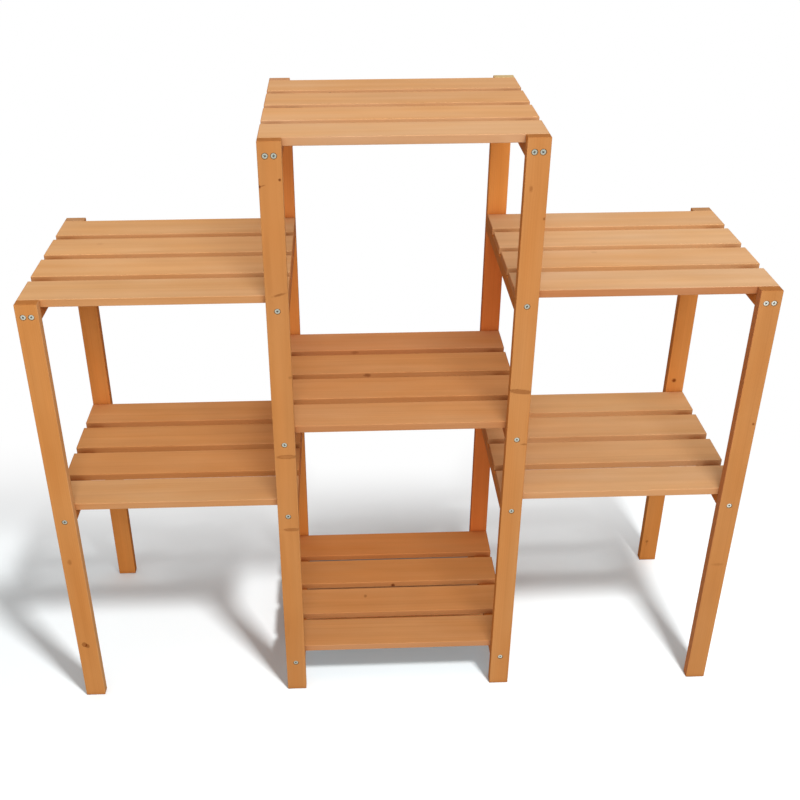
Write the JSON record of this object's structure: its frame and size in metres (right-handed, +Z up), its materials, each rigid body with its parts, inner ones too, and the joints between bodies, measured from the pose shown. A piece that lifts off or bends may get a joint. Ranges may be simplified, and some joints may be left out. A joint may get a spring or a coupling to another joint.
{
  "type": "plant stand",
  "caption": "Free-standing slatted wooden plant stand: a tall middle tower with a lower wing on each side, shelves at staggered heights on flat screwed legs.",
  "frame": {"origin": "on the floor, under the middle of the stand", "axes": "+X to the right seen from the front, +Y to the back, +Z up"},
  "size_m": [0.945, 0.28, 0.864],
  "materials": {
    "leg_wood": "honey stain, thin satin oil",
    "slat_wood": "honey stain, thin satin oil",
    "cleat_wood": "honey stain, thin satin oil",
    "screw_zinc": "bright zinc plating"
  },
  "bodies": {
    "root": {"front_leg_screws": "screw_zinc", "left_lower_cleat_inner": "cleat_wood", "left_lower_cleat_outer": "cleat_wood", "left_lower_slat_1": "slat_wood", "left_lower_slat_2": "slat_wood", "left_lower_slat_3": "slat_wood", "left_lower_slat_4": "slat_wood", "left_upper_cleat_inner": "cleat_wood", "left_upper_cleat_outer": "cleat_wood", "left_upper_slat_1": "slat_wood", "left_upper_slat_2": "slat_wood", "left_upper_slat_3": "slat_wood", "left_upper_slat_4": "slat_wood", "rear_leg_screws": "screw_zinc", "right_lower_cleat_inner": "cleat_wood", "right_lower_cleat_outer": "cleat_wood", "right_lower_slat_1": "slat_wood", "right_lower_slat_2": "slat_wood", "right_lower_slat_3": "slat_wood", "right_lower_slat_4": "slat_wood", "right_upper_cleat_inner": "cleat_wood", "right_upper_cleat_outer": "cleat_wood", "right_upper_slat_1": "slat_wood", "right_upper_slat_2": "slat_wood", "right_upper_slat_3": "slat_wood", "right_upper_slat_4": "slat_wood", "slat_screws": "screw_zinc", "tower_bottom_cleat_left": "cleat_wood", "tower_bottom_cleat_right": "cleat_wood", "tower_bottom_slat_1": "slat_wood", "tower_bottom_slat_2": "slat_wood", "tower_bottom_slat_3": "slat_wood", "tower_bottom_slat_4": "slat_wood", "tower_left_leg_front": "leg_wood", "tower_left_leg_rear": "leg_wood", "tower_middle_cleat_left": "cleat_wood", "tower_middle_cleat_right": "cleat_wood", "tower_middle_slat_1": "slat_wood", "tower_middle_slat_2": "slat_wood", "tower_middle_slat_3": "slat_wood", "tower_middle_slat_4": "slat_wood", "tower_right_leg_front": "leg_wood", "tower_right_leg_rear": "leg_wood", "tower_top_cleat_left": "cleat_wood", "tower_top_cleat_right": "cleat_wood", "tower_top_slat_1": "slat_wood", "tower_top_slat_2": "slat_wood", "tower_top_slat_3": "slat_wood", "tower_top_slat_4": "slat_wood", "wing_left_leg_front": "leg_wood", "wing_left_leg_rear": "leg_wood", "wing_right_leg_front": "leg_wood", "wing_right_leg_rear": "leg_wood"}
  },
  "joints": []
}
